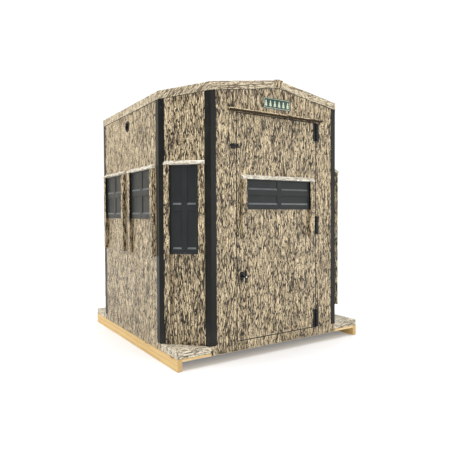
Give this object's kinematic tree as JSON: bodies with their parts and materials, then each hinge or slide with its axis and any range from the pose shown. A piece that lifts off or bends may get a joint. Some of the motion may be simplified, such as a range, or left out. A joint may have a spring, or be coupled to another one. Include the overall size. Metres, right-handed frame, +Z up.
{
  "type": "box hunting blind",
  "caption": "Octagonal insulated box blind on timber skids, with a gable roof, a hinged door and drop-down window shutters.",
  "frame": {"origin": "on the ground at the centre of the platform", "axes": "+Z up, the door faces -Y, +X to the right when facing the door, skids along Y"},
  "size_m": [1.91, 1.9338, 2.1859],
  "materials": {
    "camo_skin": "matte",
    "pine": "matte",
    "black_trim": "satin",
    "shutter_plastic": "satin",
    "hinge_black": "satin",
    "zinc_pin": "satin",
    "chrome": "polished",
    "seal_rubber": "matte",
    "sign_green": "satin"
  },
  "bodies": {
    "shell": {"corner_panel_front_left": "camo_skin", "corner_panel_front_right": "camo_skin", "corner_panel_rear_left": "camo_skin", "corner_panel_rear_right": "camo_skin", "corner_trims_front_left": "black_trim", "corner_trims_front_right": "black_trim", "corner_trims_rear_left": "black_trim", "corner_trims_rear_right": "black_trim", "corner_window_hoods": "camo_skin", "corner_window_tracks": "camo_skin", "cross_slats": "pine", "door_seal": "seal_rubber", "hinge_frame_leaves": "hinge_black", "hinge_frame_screws": "hinge_black", "hinge_pins": "zinc_pin", "inner_corner_angles": "black_trim", "latch_plate": "hinge_black", "left_window_tracks": "camo_skin", "name_plate": "sign_green", "platform_panel": "camo_skin", "rain_guard": "camo_skin", "rear_window_tracks": "camo_skin", "ridge_beam": "pine", "ridge_cap": "camo_skin", "right_window_tracks": "camo_skin", "roof_panel_left": "camo_skin", "roof_panel_right": "camo_skin", "skid_left": "pine", "skid_right": "pine", "trim_screws": "hinge_black", "vent_left": "black_trim", "vent_right": "black_trim", "wall_front": "camo_skin", "wall_left": "camo_skin", "wall_rear": "camo_skin", "wall_right": "camo_skin", "wall_window_hoods": "camo_skin"},
    "door": {"door_leaf": "camo_skin", "hinge_door_leaves": "hinge_black", "hinge_door_screws": "hinge_black", "latch_strike": "hinge_black", "door_window_tracks": "camo_skin", "door_window_hood": "camo_skin", "lock_escutcheon": "hinge_black"},
    "t_handle": {"lock_handle": "hinge_black", "lock_cam": "zinc_pin"},
    "key_plug": {"lock_plug": "chrome"},
    "turn_latch": {"latch_bar": "hinge_black"},
    "corner_shutter_front_left_body": {"corner_shutter_front_left": "shutter_plastic"},
    "corner_shutter_front_right_body": {"corner_shutter_front_right": "shutter_plastic"},
    "corner_shutter_rear_left_body": {"corner_shutter_rear_left": "shutter_plastic"},
    "corner_shutter_rear_right_body": {"corner_shutter_rear_right": "shutter_plastic"},
    "door_shutter_body": {"door_shutter": "shutter_plastic"},
    "left_shutter_1_body": {"left_shutter_1": "shutter_plastic"},
    "left_shutter_2_body": {"left_shutter_2": "shutter_plastic"},
    "rear_shutter_1_body": {"rear_shutter_1": "shutter_plastic"},
    "rear_shutter_2_body": {"rear_shutter_2": "shutter_plastic"},
    "right_shutter_1_body": {"right_shutter_1": "shutter_plastic"},
    "right_shutter_2_body": {"right_shutter_2": "shutter_plastic"}
  },
  "joints": [
    {"name": "door_swing", "type": "hinge", "parent": "shell", "child": "door", "pos_m": [0.41, -0.9235, 1.017], "axis": [0, 0, 1], "range_deg": [0, 135]},
    {"name": "t_handle_turn", "type": "hinge", "parent": "door", "child": "t_handle", "pos_m": [-0.362, -0.917, 0.64], "axis": [0, 1, 0], "range_deg": [0, 90]},
    {"name": "key_turn", "type": "hinge", "parent": "t_handle", "child": "key_plug", "pos_m": [-0.362, -0.917, 0.64], "axis": [0, 1, 0], "range_deg": [0, 90]},
    {"name": "latch_turn", "type": "hinge", "parent": "shell", "child": "turn_latch", "pos_m": [-0.425, -0.917, 1.63], "axis": [0, 1, 0], "range_deg": [0, 180]},
    {"name": "corner_shutter_front_left_drop", "type": "slide", "parent": "shell", "child": "corner_shutter_front_left_body", "axis": [0, 0, -1], "range_m": [0, 0.515]},
    {"name": "corner_shutter_front_right_drop", "type": "slide", "parent": "shell", "child": "corner_shutter_front_right_body", "axis": [0, 0, -1], "range_m": [0, 0.515]},
    {"name": "corner_shutter_rear_left_drop", "type": "slide", "parent": "shell", "child": "corner_shutter_rear_left_body", "axis": [0, 0, -1], "range_m": [0, 0.515]},
    {"name": "corner_shutter_rear_right_drop", "type": "slide", "parent": "shell", "child": "corner_shutter_rear_right_body", "axis": [0, 0, -1], "range_m": [0, 0.515]},
    {"name": "door_shutter_drop", "type": "slide", "parent": "door", "child": "door_shutter_body", "axis": [0, 0, -1], "range_m": [0, 0.215]},
    {"name": "left_shutter_1_drop", "type": "slide", "parent": "shell", "child": "left_shutter_1_body", "axis": [0, 0, -1], "range_m": [0, 0.285]},
    {"name": "left_shutter_2_drop", "type": "slide", "parent": "shell", "child": "left_shutter_2_body", "axis": [0, 0, -1], "range_m": [0, 0.285]},
    {"name": "rear_shutter_1_drop", "type": "slide", "parent": "shell", "child": "rear_shutter_1_body", "axis": [0, 0, -1], "range_m": [0, 0.285]},
    {"name": "rear_shutter_2_drop", "type": "slide", "parent": "shell", "child": "rear_shutter_2_body", "axis": [0, 0, -1], "range_m": [0, 0.285]},
    {"name": "right_shutter_1_drop", "type": "slide", "parent": "shell", "child": "right_shutter_1_body", "axis": [0, 0, -1], "range_m": [0, 0.285]},
    {"name": "right_shutter_2_drop", "type": "slide", "parent": "shell", "child": "right_shutter_2_body", "axis": [0, 0, -1], "range_m": [0, 0.285]}
  ]
}
